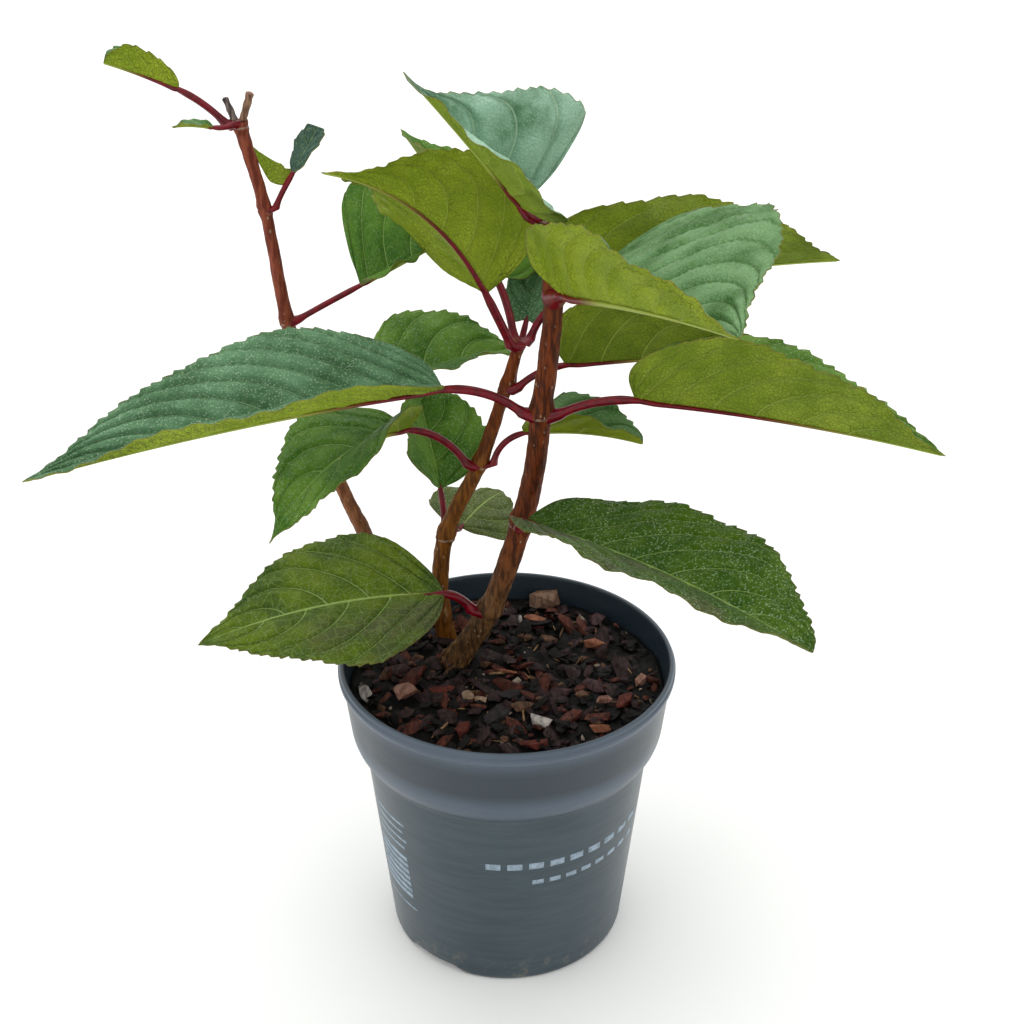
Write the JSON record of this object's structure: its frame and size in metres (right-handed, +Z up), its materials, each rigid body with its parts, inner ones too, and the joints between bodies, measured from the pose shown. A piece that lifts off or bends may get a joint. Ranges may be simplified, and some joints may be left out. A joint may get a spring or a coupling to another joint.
{
  "type": "potted shrub",
  "caption": "Young hydrangea shrub with woody stems and folded serrated leaves in a round plastic nursery pot of compost.",
  "frame": {"origin": "centre of the flat pad in the middle of the pot's underside", "axes": "+Z up the pot's axis, +Y away from the side the plant is seen from, +X to the right"},
  "size_m": [0.2403, 0.1679, 0.2829],
  "materials": {
    "pot_plastic": "satin moulded plastic",
    "compost": "loose bark compost",
    "bark": "rough bark",
    "leaf": "matt leaf"
  },
  "bodies": {
    "root": {"pot": "pot_plastic", "compost": "compost", "stem_front": "bark", "stem_middle": "bark", "stem_back": "bark", "stub_grey": "bark", "stub_brown": "bark", "leaf_front_1": "leaf", "leaf_front_2": "leaf", "leaf_front_3_left": "leaf", "leaf_front_3_right": "leaf", "leaf_front_4": "leaf", "leaf_front_top": "leaf", "leaf_middle_1_left": "leaf", "leaf_middle_1_right": "leaf", "leaf_middle_2_left": "leaf", "leaf_middle_2_right": "leaf", "leaf_middle_3_right": "leaf", "leaf_middle_3_left": "leaf", "leaf_middle_top_left": "leaf", "leaf_middle_top_back": "leaf", "leaf_middle_top_right": "leaf", "leaf_back_1": "leaf", "leaf_back_2": "leaf", "leaf_back_3": "leaf", "leaf_back_top_long": "leaf", "leaf_back_top_short": "leaf"}
  },
  "joints": []
}
